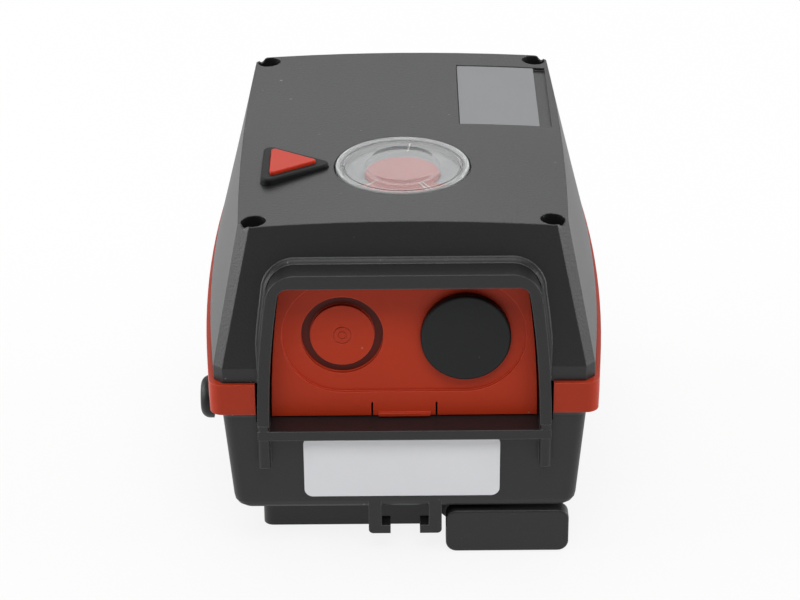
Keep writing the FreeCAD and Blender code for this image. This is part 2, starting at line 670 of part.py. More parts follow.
# ---- indicator and release button --------------------------------------------------------
def indicator_lens():
    low = LENS_SEAT + 0.42
    body = rod(LENS_RADIUS, low, CROWN_Z + 0.25)
    top_edge = [e for e in body.Edges if e.CenterOfMass.z > CROWN_Z + 0.2 and len(e.Vertexes) == 1]
    body = body.makeFillet(0.5, top_edge)
    rim_groove = tube(LENS_RADIUS - 1.5, LENS_RADIUS - 1.9, CROWN_Z, CROWN_Z + 2)
    lens = body.cut(rim_groove)
    tick = box((LENS_RADIUS - 6.8, LENS_RADIUS - 2.2), (-0.15, 0.15), (CROWN_Z, CROWN_Z + 2))
    for angle in LENS_MARKS:
        lens = lens.cut(turned(tick, angle))
    return lens


def lens_seal():
    return tube(LENS_RADIUS - 0.1, DISC_RADIUS + 0.9, LENS_SEAT + 0.02, LENS_SEAT + 0.4)


def indicator_disc():
    hub = rod(7.5, DISC_Z - 5.0, DISC_Z + 0.5)
    disc = rod(DISC_RADIUS, DISC_Z, DISC_Z + DISC_THICK)
    return fuse([hub, disc]).cut(rod(SPINDLE_RADIUS, DISC_Z - 6, DISC_Z - 1.6))


def indicator_sector():
    """Coloured pointer sector stuck on the indicator disc."""
    sweep = 110.0
    low = DISC_Z + DISC_THICK + 0.02
    wedge = Part.makeCylinder(DISC_RADIUS - 1.2, 0.5, V(0, 0, low), V(0, 0, 1), sweep)
    wedge.rotate(V(0, 0, 0), V(0, 0, 1), -90.0 - sweep / 2)
    return fuse([wedge, rod(9.4, low, low + 0.5)])


def button_bezel():
    body = triangle_prism(BEZEL_MARGIN, 1.9, BEZEL_FOOT, BEZEL_TOP)
    top = [e for e in body.Edges if e.CenterOfMass.z > BEZEL_TOP - 0.01]
    body = body.makeFillet(0.6, top)
    return body.cut(triangle_prism(0.12, 1.0, BEZEL_FOOT - 1, BEZEL_TOP + 1))


def release_button():
    cap = triangle_prism(0.0, 0.9, BEZEL_FOOT - 0.2, BEZEL_TOP + 0.8)
    top = [e for e in cap.Edges if e.CenterOfMass.z > BEZEL_TOP + 0.79]
    cap = cap.makeFillet(0.35, top)
    flange = triangle_prism(0.55, 1.2, BEZEL_FOOT - 1.7, BEZEL_FOOT - 0.15)
    stem = rod(4.0, BEZEL_FOOT - 6, BEZEL_FOOT - 1.5, CLUTCH_X, 0.0)
    socket = rod(ROD_RADIUS, BEZEL_FOOT - 7, BEZEL_FOOT - 0.5, CLUTCH_X, 0.0)
    return fuse([cap, flange, stem]).cut(socket)


def release_rod():
    return rod(ROD_RADIUS, ROD_FOOT, BEZEL_FOOT - 0.55, CLUTCH_X, 0.0)


def spring_collar():
    return tube(5.2, ROD_RADIUS, SPRING_TOP, SPRING_TOP + 2.0, CLUTCH_X, 0.0)


def axle_clips():
    under = tube(4.2, ROD_RADIUS, PINION_LOW - 0.6, PINION_LOW - 0.05, CLUTCH_X, 0.0)
    wheel_top = WHEEL_Z + WHEEL_FACE
    over = tube(4.2, ROD_RADIUS, wheel_top + 0.05, wheel_top + 0.5, CLUTCH_X, 0.0)
    return group([under, over])


def return_spring():
    wire = 0.45
    radius = 3.9
    low = PLATE_TOP + wire + 0.02
    height = SPRING_TOP - PLATE_TOP - 2 * wire - 0.04
    coils = 7
    helix = Part.makeHelix(height / coils, height, radius)
    path = Part.Wire(helix.Edges)
    section = Part.Wire(Part.makeCircle(wire, V(radius, 0, 0), V(0, 1, 0)))
    coil = path.makePipeShell([section], True, True)
    coil.translate(V(CLUTCH_X, 0, low))
    return coil


# ---- gears -------------------------------------------------------------------------------
def involute(angle):
    return math.tan(angle) - angle


def gear_prism(teeth, phase, low, high, x=0.0, y=0.0):
    """Straight-cut stub-tooth gear with one tooth centred on the direction phase."""
    pitch = MODULE * teeth / 2
    base = pitch * math.cos(math.radians(PRESSURE))
    root = pitch - DEDENDUM * MODULE
    tip = pitch + ADDENDUM * MODULE
    half_pitch = math.pi / (2 * teeth) - BACKLASH / (4 * pitch)
    flank_start = max(base, root)
    radii = [flank_start + (tip - flank_start) * step / 4 for step in range(5)]
    if base > root:
        radii.insert(0, root)

    def half_angle(radius):
        reach = max(radius, base)
        return half_pitch + involute(math.radians(PRESSURE)) - involute(math.acos(base / reach))

    points = []
    for tooth in range(teeth):
        centre = math.radians(phase) + 2 * math.pi * tooth / teeth
        rising = [(r, centre - half_angle(r)) for r in radii]
        falling = [(r, centre + half_angle(r)) for r in reversed(radii)]
        for radius, angle in rising + falling:
            points.append((x + radius * math.cos(angle), y + radius * math.sin(angle)))
    return prism(points, low, high)


def output_gear():
    gear = gear_prism(OUTPUT_TEETH, 180.0, GEAR_Z, GEAR_Z + GEAR_FACE)
    gear = gear.cut(rod(SHAFT_RADIUS + 1, GEAR_Z - 1, GEAR_Z + GEAR_FACE + 1))
    web = tube(19.5, 11.5, GEAR_Z + GEAR_FACE - 1.5, GEAR_Z + GEAR_FACE + 1)
    gear = gear.cut(web)
    for step in range(6):
        gear = gear.cut(turned(rod(2.8, GEAR_Z - 1, GEAR_Z + GEAR_FACE, 15.5), 60 * step))
    return gear


def clutch_gear():
    pinion_top = GEAR_Z + MESH_OVERLAP
    pinion = gear_prism(PINION_TEETH, 180.0 / PINION_TEETH, PINION_LOW, pinion_top, CLUTCH_X)
    neck = rod(3.9, pinion_top - 1, WHEEL_Z + 1, CLUTCH_X)
    wheel = gear_prism(WHEEL_TEETH, MOTOR_ANGLE, WHEEL_Z, WHEEL_Z + WHEEL_FACE, CLUTCH_X)
    bore = rod(ROD_RADIUS + RUNNING, PINION_LOW - 1, PLATE_Z, CLUTCH_X)
    return fuse([pinion, neck, wheel]).cut(bore)


def motor_pinion():
    low = GEAR_Z + GEAR_FACE + AXIAL_GAP
    high = WHEEL_Z + WHEEL_FACE + 0.2
    phase = MOTOR_ANGLE + 180.0 + 180.0 / MOTOR_TEETH
    pinion = gear_prism(MOTOR_TEETH, phase, low, high, MOTOR_X, MOTOR_Y)
    return pinion.cut(rod(MOTOR_SHAFT_RADIUS, low - 1, high + 1, MOTOR_X, MOTOR_Y))


def motor_shaft():
    low = GEAR_Z + GEAR_FACE + AXIAL_GAP
    return rod(MOTOR_SHAFT_RADIUS, low, PLATE_TOP + 6, MOTOR_X, MOTOR_Y)


# ---- output train ------------------------------------------------------------------------
def output_shaft():
    shaft = fuse([
        rod(COUPLING_RADIUS, 0, GEAR_Z),
        rod(SHAFT_RADIUS + 1, GEAR_Z - 1, GEAR_Z + GEAR_FACE + 0.5),
        rod(SHAFT_RADIUS, GEAR_Z, PLATE_TOP + 0.6),
        rod(SPINDLE_RADIUS, PLATE_TOP, DISC_Z - 1.6),
    ])
    return shaft.cut(rod(SOCKET_RADIUS, -1, SOCKET_DEPTH))


def lower_shaft_bush():
    bore = COUPLING_RADIUS + RUNNING
    sleeve = tube(COUPLING_RADIUS + 1.98, bore, FLOOR_Z - 0.2, FLOOR_TOP + 1)
    flange = tube(COUPLING_RADIUS + 4.0, bore, FLOOR_TOP + 0.02, FLOOR_TOP + 1.2)
    return fuse([sleeve, flange])


def upper_shaft_bush():
    bore = SHAFT_RADIUS + RUNNING
    sleeve = tube(SHAFT_RADIUS + 2.0, bore, PLATE_Z - 1, PLATE_TOP)
    flange = tube(SHAFT_RADIUS + 3.5, bore, PLATE_Z - 1.2, PLATE_Z - 0.02)
    return fuse([sleeve, flange])


def limit_cam(low, start):
    """Two-step cam disc: the high step spans 200 degrees from start."""
    high = low + CAM_THICK
    step = Part.makeCylinder(12.0, CAM_THICK, V(0, 0, low), V(0, 0, 1), 200.0)
    step.rotate(V(0, 0, 0), V(0, 0, 1), start)
    return fuse([rod(10.4, low, high), step]).cut(rod(SPINDLE_RADIUS, low - 1, high + 1))


def switch_screw_points():
    x, y = SWITCH_SCREW
    return [(x, -y), (x, y)]


def limit_switch(low):
    body = box(SWITCH_X, (-SWITCH_HALF, SWITCH_HALF), (low - 0.6, low + 4.8))
    for x, y in switch_screw_points():
        body = body.cut(rod(1.3, low - 2, low + 6, x, y))
    plunger = rod_between(1.2, (12.4, 2.0, low + 2.0), (SWITCH_X[0] + 1, 2.0, low + 2.0))
    return fuse([body, plunger])


def switch_screws():
    top = CAM_Z + CAM_PITCH + 4.85
    screws = []
    for x, y in switch_screw_points():
        screws.append(fuse([rod(1.25, BOARD_Z - 1.5, top + 1, x, y), rod(2.3, top, top + 1.6, x, y)]))
    return group(screws)


# ---- chassis, motor, electrics -----------------------------------------------------------
def gear_plate():
    waist = SCREW_X - BOSS_RADIUS - 2.0
    shoulder = -SCREW_FRONT + BOSS_RADIUS + 4.0
    points = [
        (-waist, CHASSIS_FRONT), (waist, CHASSIS_FRONT), (waist, shoulder), (CHASSIS_HALF, shoulder),
        (CHASSIS_HALF, CHASSIS_REAR), (-CHASSIS_HALF, CHASSIS_REAR), (-CHASSIS_HALF, shoulder),
        (-waist, shoulder),
    ]
    plate = prism(points, PLATE_Z, PLATE_TOP)
    plate = plate.cut(rod(SHAFT_RADIUS + 2.0, PLATE_Z - 1, PLATE_TOP + 1))
    plate = plate.cut(rod(ROD_RADIUS + RUNNING, PLATE_Z - 1, PLATE_TOP + 1, CLUTCH_X))
    plate = plate.cut(rod(3.2, PLATE_Z - 1, PLATE_TOP + 1, MOTOR_X, MOTOR_Y))
    for x, y in PLATE_PILLARS:
        plate = plate.cut(rod(1.6, PLATE_Z - 1, PLATE_TOP + 1, x, y))
    return plate


def plate_pillars():
    return group([tube(3.0, 1.45, FLOOR_TOP, PLATE_Z, x, y) for x, y in PLATE_PILLARS])


def plate_screws():
    screws = []
    for x, y in PLATE_PILLARS:
        shank = rod(1.4, PLATE_Z - 10, PLATE_TOP + 1, x, y)
        screws.append(fuse([shank, rod(2.9, PLATE_TOP + 0.02, PLATE_TOP + 2.0, x, y)]))
    return group(screws)


def motor_gearhead():
    head = box(GEARHEAD_X, (GEARHEAD_FRONT, GEARHEAD_REAR), (PLATE_TOP + 0.02, GEARHEAD_TOP))
    head = round_edges(head, 4.0, along_z)
    bore = MOTOR_SHAFT_RADIUS + RUNNING
    head = head.cut(rod(bore, PLATE_TOP - 1, PLATE_TOP + 6.5, MOTOR_X, MOTOR_Y))
    for x, y in GEARHEAD_SCREWS:
        head = head.cut(rod(1.6, PLATE_TOP - 1, GEARHEAD_TOP + 1, x, y))
    return head


def motor_can():
    high = GEARHEAD_TOP + MOTOR_HEIGHT
    can = rod(MOTOR_RADIUS, GEARHEAD_TOP + 0.02, high, *MOTOR_CENTRE)
    rim = [e for e in can.Edges if e.CenterOfMass.z > high - 0.1]
    return can.makeFillet(1.5, rim)


def motor_screws():
    screws = []
    for x, y in GEARHEAD_SCREWS:
        shank = rod(1.5, PLATE_TOP + 0.05, GEARHEAD_TOP + 1, x, y)
        head = rod(2.8, GEARHEAD_TOP + 0.02, GEARHEAD_TOP + 2, x, y)
        screws.append(fuse([shank, head]))
    return group(screws)


def run_capacitor():
    x, y, radius, height = CAPACITOR
    can = rod(radius, PLATE_TOP + 0.02, PLATE_TOP + height, x, y)
    top = [e for e in can.Edges if e.CenterOfMass.z > PLATE_TOP + height - 0.1]
    return can.makeFillet(1.0, top)


def circuit_board():
    points = [(-30, BOARD_FRONT), (31, BOARD_FRONT), (31, -15), (40, -15), (40, 17), (14, 17),
              (14, BOARD_REAR), (-30, BOARD_REAR)]
    board = prism(points, BOARD_Z, BOARD_TOP)
    for x, y in BOARD_PILLARS:
        board = board.cut(rod(1.4, BOARD_Z - 1, BOARD_TOP + 1, x, y))
    for x, y in switch_screw_points():
        board = board.cut(rod(1.3, BOARD_Z - 1, BOARD_TOP + 1, x, y))
    return board


def board_pillars():
    return group([rod(2.4, PLATE_TOP, BOARD_Z, x, y).cut(rod(1.25, BOARD_Z - 5, BOARD_Z + 1, x, y))
                  for x, y in BOARD_PILLARS])


def board_screws():
    screws = []
    for x, y in BOARD_PILLARS:
        shank = rod(1.2, BOARD_Z - 4, BOARD_TOP + 1, x, y)
        screws.append(fuse([shank, rod(2.1, BOARD_TOP + 0.02, BOARD_TOP + 1.5, x, y)]))
    return group(screws)


def terminal_stations():
    pitch = (TERMINAL_X[1] - TERMINAL_X[0]) / TERMINAL_COUNT
    return [TERMINAL_X[0] + pitch * (index + 0.5) for index in range(TERMINAL_COUNT)]


def terminal_block():
    block = box(TERMINAL_X, TERMINAL_Y, (BOARD_TOP, TERMINAL_TOP))
    for x in terminal_stations():
        block = block.cut(rod(1.7, TERMINAL_TOP - 3, TERMINAL_TOP + 1, x, TERMINAL_Y[0] + 5.5))
        port = box((x - 1.5, x + 1.5), (TERMINAL_Y[0] - 1, TERMINAL_Y[0] + 3),
                   (BOARD_TOP + 2, BOARD_TOP + 5))
        block = block.cut(port)
    return block


def terminal_screws():
    return group([rod(1.6, TERMINAL_TOP - 2.95, TERMINAL_TOP - 0.6, x, TERMINAL_Y[0] + 5.5)
                  for x in terminal_stations()])


# ---- hand lever and base -----------------------------------------------------------------
def hand_lever():
    hub = rod(HUB_RADIUS, LEVER_Z[0], LEVER_Z[1] + 1)
    length = (GRIP_FRONT + LEVER_WIDTH / 2) / math.sin(math.radians(-LEVER_ANGLE))
    arm = box((COUPLING_RADIUS - 2, length), (-LEVER_WIDTH / 2, LEVER_WIDTH / 2), LEVER_Z)
    beyond = box((-length, 2 * length), (-2 * length, -GRIP_FRONT + 1), (-5, 20))
    arm = turned(arm, LEVER_ANGLE).cut(beyond)
    grip = box(GRIP_X, (-GRIP_FRONT, -GRIP_FRONT + GRIP_THICK), GRIP_Z)
    grip = round_edges(grip, GRIP_CORNER, along_y)
    front = [e for e in grip.Edges if abs(e.CenterOfMass.y + GRIP_FRONT) < 0.01]
    grip = grip.makeFillet(0.6, front)
    lever = fuse([hub, arm, grip]).cut(rod(COUPLING_RADIUS, 0, 15))
    return lever.cut(lever_screw_hole(1.95, HUB_RADIUS + 6.5))


def lever_screw_hole(radius, reach):
    hole = rod_between(radius, (COUPLING_RADIUS + 0.1, 0, 7.0), (reach, 0, 7.0))
    return turned(hole, LEVER_ANGLE + 180)


def lever_screw():
    screw = lever_screw_hole(1.9, HUB_RADIUS + 0.9)
    socket = rod_between(0.9, (HUB_RADIUS - 0.5, 0, 7.0), (HUB_RADIUS + 2.5, 0, 7.0))
    socket = turned(socket, LEVER_ANGLE + 180)
    return screw.cut(socket)


def base_foot():
    """Base frame under the casing, left open on the side where the lever swings."""
    direction = math.radians(LEVER_ANGLE)
    gap = LEVER_WIDTH / 2 + 1.5
    along = V(math.cos(direction), math.sin(direction), 0)
    left = V(math.sin(direction), -math.cos(direction), 0) * gap

    def on_edge(y):
        reach = (y - left.y) / along.y
        return (left.x + along.x * reach, y)

    bend = on_edge(-6.0)
    points = [
        (-FOOT_HALF, -FOOT_FRONT), on_edge(-FOOT_FRONT), bend, (bend[0], FOOT_STEP_Y),
        (FOOT_HALF, FOOT_STEP_Y), (FOOT_HALF, FOOT_REAR), (-FOOT_HALF, FOOT_REAR),
    ]
    block = prism(points, 0, FLOOR_Z)

    def outer_corner(direction, middle):
        return along_z(direction, middle) and abs(middle.x) > FOOT_HALF - 0.1

    block = round_edges(block, 2.5, outer_corner).cut(rod(FOOT_BORE, -1, FLOOR_Z + 1))
    far_left = -FOOT_HALF + FOOT_WALL
    front = -FOOT_FRONT + FOOT_WALL
    rear = FOOT_REAR - FOOT_WALL
    rib_left = -FOOT_BORE - FOOT_WALL
    rib_middle = FOOT_BORE + 1.0
    pockets = [
        ((far_left, rib_left), (front, rib_middle)),
        ((far_left, rib_left), (rib_middle + FOOT_WALL, rear)),
        ((-FOOT_BORE, -8.0), (rib_middle + FOOT_WALL, rear)),
        ((-FOOT_BORE, 0.5), (front, FOOT_SCREWS[0][1] + FOOT_SCREW_HEAD + 0.3)),
        ((2.0, FOOT_HALF - FOOT_WALL), (FOOT_STEP_Y + FOOT_WALL, rear)),
    ]
    for across, along_foot in pockets:
        block = block.cut(box(across, along_foot, (-1, FLOOR_Z - FOOT_WALL)))
    for x, y in FOOT_SCREWS:
        block = block.cut(rod(FOOT_SCREW_SHANK + 0.05, -1, FLOOR_Z + 1, x, y))
    return block


def foot_screws():
    head_z = FLOOR_Z - FOOT_WALL
    screws = []
    for x, y in FOOT_SCREWS:
        shank = rod(FOOT_SCREW_SHANK, head_z - 1, FLOOR_TOP - 0.2, x, y)
        screws.append(fuse([shank, rod(FOOT_SCREW_HEAD, head_z - 2, head_z - 0.02, x, y)]))
    return group(screws)


PIECES = {
    "lower_casing": lower_casing,
    "upper_cover": upper_cover,
    "colour_band": colour_band,
    "cover_gasket": cover_gasket,
    "cover_screws": cover_screws,
    "side_plug": side_plug,
    "entry_panel": entry_panel,
    "entry_plug": entry_plug,
    "type_label": type_label,
    "name_plate": name_plate,
    "indicator_lens": indicator_lens,
    "lens_seal": lens_seal,
    "indicator_disc": indicator_disc,
    "indicator_sector": indicator_sector,
    "button_bezel": button_bezel,
    "release_button": release_button,
    "release_rod": release_rod,
    "spring_collar": spring_collar,
    "axle_clips": axle_clips,
    "return_spring": return_spring,
    "output_gear": output_gear,
    "clutch_gear": clutch_gear,
    "motor_pinion": motor_pinion,
    "motor_shaft": motor_shaft,
    "output_shaft": output_shaft,
    "lower_shaft_bush": lower_shaft_bush,
    "upper_shaft_bush": upper_shaft_bush,
    "open_limit_cam": lambda: limit_cam(CAM_Z, 20.0),
    "close_limit_cam": lambda: limit_cam(CAM_Z + CAM_PITCH, -70.0),
    "open_limit_switch": lambda: limit_switch(CAM_Z),
    "close_limit_switch": lambda: limit_switch(CAM_Z + CAM_PITCH),
    "switch_screws": switch_screws,
    "gear_plate": gear_plate,
    "plate_pillars": plate_pillars,
    "plate_screws": plate_screws,
    "motor_gearhead": motor_gearhead,
    "motor_can": motor_can,
    "motor_screws": motor_screws,
    "run_capacitor": run_capacitor,
    "circuit_board": circuit_board,
    "board_pillars": board_pillars,
    "board_screws": board_screws,
    "terminal_block": terminal_block,
    "terminal_screws": terminal_screws,
    "hand_lever": hand_lever,
    "lever_screw": lever_screw,
    "base_foot": base_foot,
    "foot_screws": foot_screws,
}

os.makedirs("parts", exist_ok=True)
for piece_name, make in PIECES.items():
    save(piece_name, make())
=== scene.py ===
import json
import math

import bpy
from mathutils import Matrix, Vector


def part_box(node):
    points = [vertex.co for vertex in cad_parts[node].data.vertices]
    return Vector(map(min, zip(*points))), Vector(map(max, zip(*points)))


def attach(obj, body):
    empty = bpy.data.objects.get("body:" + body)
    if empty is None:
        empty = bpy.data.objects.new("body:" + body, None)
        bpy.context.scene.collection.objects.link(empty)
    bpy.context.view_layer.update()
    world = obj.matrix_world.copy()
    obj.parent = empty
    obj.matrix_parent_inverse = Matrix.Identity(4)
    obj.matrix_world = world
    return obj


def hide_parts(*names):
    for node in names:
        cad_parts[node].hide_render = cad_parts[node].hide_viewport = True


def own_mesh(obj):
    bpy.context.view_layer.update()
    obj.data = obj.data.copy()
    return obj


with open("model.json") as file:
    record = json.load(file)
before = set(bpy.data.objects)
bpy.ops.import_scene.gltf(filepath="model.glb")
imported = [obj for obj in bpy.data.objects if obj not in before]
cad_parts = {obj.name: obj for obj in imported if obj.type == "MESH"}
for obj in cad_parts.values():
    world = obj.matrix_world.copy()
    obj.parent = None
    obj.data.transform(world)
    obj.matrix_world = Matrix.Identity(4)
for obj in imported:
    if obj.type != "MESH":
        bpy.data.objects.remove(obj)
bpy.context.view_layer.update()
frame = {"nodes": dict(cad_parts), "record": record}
NODES = frame["nodes"]

# Lengths are in metres, or in mm where a name ends in _MM.
MM = 0.001
CAMERA_PITCH = 28.0              # degrees below level
CAMERA_ROLL = 0.45
CAMERA_LENS = 119.25             # over a sensor 36 mm wide
CAMERA_PLACE_MM = (-0.9, -613.6, 378.1)

ENTRY_LEFT = (-15.4 * MM, 60.4 * MM)  # x and z of the left cable entry
MOAT_MIDDLE = 9.15 * MM          # radius of the moat round its knock-out

LENS_GAP_MM = 0.3                # dark gap round the window
LENS_RIM = 16.3 * MM             # inner edge of the window's raised rim
LENS_RING = 9.4 * MM             # faint ring moulded in the window
MARK_SIZE_MM = (4.8, 0.36, 0.12)
MARK_REACH_MM = 12.2             # from the output axis to the middle of a mark
MARK_ANGLES = (82.0, 229.0, 295.0, 300.0)

SPRING_WIRE = 0.45 * MM
SPRING_COILS = 7

HOOD_BOW_MM = 235.0              # radius that the hood's sides bow to
HOOD_SILL_MM = 38.6
HOOD_HALF_MM = 36.7
HOOD_TOP_MM = 81.2
HOOD_CORNER_MM = 7.5
HOOD_FOOT_MM = (-44.8, 40.1)     # y and z of the hood's front at its foot
HOOD_LEAN = 2.1 / 41.1
WALL_FOOT_MM = (-42.7, 55.5)     # y and z of the cover's front wall at its foot
WALL_LEAN = 0.2912
ROOT_FOOT_MM = 52.5              # height where the fillet starts on the legs
ROOT_RADIUS_MM = (0.25, 1.3)
ROOT_SUNK_MM = (0.4, 0.8)        # how far the fillet's back edge is buried: sideways, inwards


# ---- camera ------------------------------------------------------------------------------
def place_camera():
    pitch = math.radians(CAMERA_PITCH)
    roll = math.radians(CAMERA_ROLL)
    level_up = Vector((0, math.sin(pitch), math.cos(pitch)))
    sideways = Vector((1, 0, 0))
    ahead = Vector((0, math.cos(pitch), -math.sin(pitch)))
    right = sideways * math.cos(roll) - level_up * math.sin(roll)
    up = sideways * math.sin(roll) + level_up * math.cos(roll)
    data = bpy.data.cameras.new("camera")
    data.sensor_width = 36.0
    data.lens = CAMERA_LENS
    data.clip_start = 0.05
    camera = bpy.data.objects.new("camera", data)
    bpy.context.scene.collection.objects.link(camera)
    axes = Matrix((right, up, -ahead)).transposed().to_4x4()
    camera.matrix_world = Matrix.Translation(Vector(CAMERA_PLACE_MM) * MM) @ axes
    bpy.context.scene.camera = camera


place_camera()
bpy.context.scene.view_settings.view_transform = "Standard"


# ---- shader building ---------------------------------------------------------------------
class Value:
    """A node socket that can be used in sums."""

    def __init__(self, paint, socket):
        self.paint = paint
        self.socket = socket

    def _math(self, operation, first, second=None):
        values = {0: first} if second is None else {0: first, 1: second}
        return self.paint.node("ShaderNodeMath", {"operation": operation}, values).out()

    def __add__(self, other):
        return self._math("ADD", self, other)

    def __radd__(self, other):
        return self._math("ADD", other, self)

    def __sub__(self, other):
        return self._math("SUBTRACT", self, other)

    def __rsub__(self, other):
        return self._math("SUBTRACT", other, self)

    def __mul__(self, other):
        return self._math("MULTIPLY", self, other)

    def __rmul__(self, other):
        return self._math("MULTIPLY", other, self)

    def __pow__(self, other):
        return self._math("POWER", self, other)

    def part(self):
        """What is left over a whole number."""
        return self._math("FRACT", self)

    def __abs__(self):
        return self._math("ABSOLUTE", self)

    def step(self, low, high):
        """0 below low, 1 above high, smooth between."""
        settings = {"interpolation_type": "SMOOTHSTEP"}
        values = {0: self, 1: low, 2: high, 3: 0.0, 4: 1.0}
        return self.paint.node("ShaderNodeMapRange", settings, values).out()

    def least(self, other):
        return self._math("MINIMUM", self, other)

    def most(self, other):
        return self._math("MAXIMUM", self, other)


class Node:
    def __init__(self, paint, node):
        self.paint = paint
        self.raw = node

    def out(self, name=0):
        return Value(self.paint, self.raw.outputs[name])


class Paint:
    """The nodes of one material, or of the world when it is the owner."""

    def __init__(self, name, owner=None):
        self.owner = owner or bpy.data.materials.new(name)
        self.owner.use_nodes = True
        self.tree = self.owner.node_tree
        self.tree.nodes.clear()
        self._place = None

    def node(self, kind, settings=None, values=None):
        node = self.tree.nodes.new(kind)
        for key, value in (settings or {}).items():
            setattr(node, key, value)
        for key, value in (values or {}).items():
            if isinstance(value, Value):
                self.tree.links.new(value.socket, node.inputs[key])
            else:
                node.inputs[key].default_value = value
        return Node(self, node)

    def place(self):
        if self._place is None:
            self._place = self.node("ShaderNodeTexCoord").out("Object")
        return self._place

    def stretched(self, scale):
        settings = {"vector_type": "POINT"}
        values = {"Vector": self.place(), "Scale": scale}
        return self.node("ShaderNodeMapping", settings, values).out()

    def noise(self, scale, detail=2.0, roughness=0.5, vector=None):
        values = {
            "Vector": vector or self.place(), "Scale": scale,
            "Detail": detail, "Roughness": roughness,
        }
        return self.node("ShaderNodeTexNoise", None, values).out("Fac")

    def cells(self, scale, vector=None):
        values = {"Vector": vector or self.place(), "Scale": scale}
        return self.node("ShaderNodeTexVoronoi", None, values).out("Distance")

    def axes(self):
        split = self.node("ShaderNodeSeparateXYZ", None, {0: self.place()})
        return split.out("X"), split.out("Y"), split.out("Z")

    def mix(self, share, first, second):
        settings = {"data_type": "RGBA", "blend_type": "MIX"}
        node = self.node("ShaderNodeMix", settings, {0: share, 6: first, 7: second})
        return node.out(2)

    def rounded(self, radius):
        """Normal with the sharp edges eased over radius."""
        return self.node("ShaderNodeBevel", {"samples": 6}, {"Radius": radius}).out("Normal")

    def edges(self, radius):
        """1 on outer and inner edges, 0 on the open surface."""
        facing = self.node("ShaderNodeNewGeometry").out("Normal")
        values = {0: self.rounded(radius), 1: facing}
        dot = self.node("ShaderNodeVectorMath", {"operation": "DOT_PRODUCT"}, values)
        return (1.0 - dot.out("Value")).step(0.01, 0.22)

    def bump(self, height, strength, distance, normal=None):
        values = {"Strength": strength, "Distance": distance, "Height": height}
        if normal is not None:
            values["Normal"] = normal
        return self.node("ShaderNodeBump", None, values).out()

    def finish(self, shader, kind="ShaderNodeOutputMaterial"):
        self.node(kind, None, {"Surface": shader})
        return self.owner

    def principled(self, values):
        return self.node("ShaderNodeBsdfPrincipled", None, values).out()


def rgb(red, green, blue):
    """Linear colour from display values of 0 to 255."""
    def linear(value):
        value = value / 255
        return value / 12.92 if value <= 0.04045 else ((value + 0.055) / 1.055) ** 2.4
    return (linear(red), linear(green), linear(blue), 1.0)


def scaled(colour, factor):
    return tuple(min(1.0, c * factor) for c in colour[:3]) + (1.0,)


def edge_highlight_colour(colour):
    """Paler colour painted along a moulding's edges as a highlight."""
    return tuple(min(1.0, c * 1.5 + 0.075) for c in colour[:3]) + (1.0,)


def moat_painted_shade(paint):
    """Painted shade: darkens the moat round the knock-out of the left entry."""
    x, _, z = paint.axes()
    across = x - ENTRY_LEFT[0]
    reach = (across * across + (z - ENTRY_LEFT[1]) ** 2.0) ** 0.5
    return (1.0 - abs(reach - MOAT_MIDDLE).step(0.85 * MM, 1.2 * MM)) * 0.92


# ---- finishes ----------------------------------------------------------------------------
def moulded(name, colour, rough=0.5, grain=1.0, edge_highlight_share=0.5, variation=0.10, radius=0.35,
            specular=0.5, painted_shade=None):
    """Spark-eroded moulding: fine pitted grain, faint flow mottling, a painted highlight along
    the edges, dust, and a painted shade where one is given.
    """
    paint = Paint(name)
    pits = paint.cells(1700.0)
    fine = paint.noise(1900.0, 3.0, 0.6)
    mottle = paint.noise(55.0, 3.0, 0.55)
    patch = paint.noise(14.0, 2.0, 0.5)
    edge = paint.edges(radius * MM)
    dust = paint.noise(620.0, 1.0, 0.4).step(0.79, 0.83)
    base = paint.mix(mottle * 0.65 + patch * 0.35, scaled(colour, 1 - variation),
                     scaled(colour, 1 + variation))
    # Painted shade: the base colour is darkened under the given mask.
    if painted_shade is not None:
        base = paint.mix(painted_shade(paint), base, scaled(colour, 0.13))
    # Painted highlight: the edges are mixed towards a paler colour.
    highlighted = paint.mix(edge * edge_highlight_share, base, edge_highlight_colour(colour))
    dusty = paint.mix(dust * 0.30, highlighted, rgb(170, 168, 162))
    roughness = rough + (fine - 0.5) * 0.12 + (patch - 0.5) * 0.08 - edge * 0.10
    height = pits * 0.6 + fine * 0.4
    normal = paint.bump(height, 0.22 * grain, 0.09 * MM, paint.rounded(radius * MM))
    return paint.finish(paint.principled({
        "Base Color": dusty, "Roughness": roughness, "Normal": normal,
        "IOR": 1.49, "Specular IOR Level": specular,
    }))


def metal(name, colour, rough=0.35, brushed=(1, 1, 1), tarnish=0.15, radius=0.15):
    """Turned or rolled metal: directional lines, tarnish patches and bright edges."""
    paint = Paint(name)
    lines = paint.noise(500.0, 3.0, 0.6, paint.stretched(brushed))
    patch = paint.noise(120.0, 3.0, 0.55)
    edge = paint.edges(radius * MM)
    base = paint.mix(patch, scaled(colour, 1 - tarnish), scaled(colour, 1 + tarnish))
    bright = paint.mix(edge * 0.5, base, scaled(colour, 1.5))
    normal = paint.bump(lines, 0.25, 0.05 * MM, paint.rounded(radius * MM))
    return paint.finish(paint.principled({
        "Base Color": bright, "Metallic": 1.0 - patch * 0.1,
        "Roughness": rough + (lines - 0.5) * 0.25, "Normal": normal,
    }))


def rubber(name, colour):
    paint = Paint(name)
    fine = paint.noise(1500.0, 4.0, 0.7)
    bloom = paint.noise(90.0, 2.0, 0.5).step(0.4, 0.8)
    base = paint.mix(bloom * 0.5, colour, scaled(colour, 1.8))
    return paint.finish(paint.principled({
        "Base Color": base, "Roughness": 0.72 + (fine - 0.5) * 0.2,
        "Normal": paint.bump(fine, 0.2, 0.06 * MM),
    }))


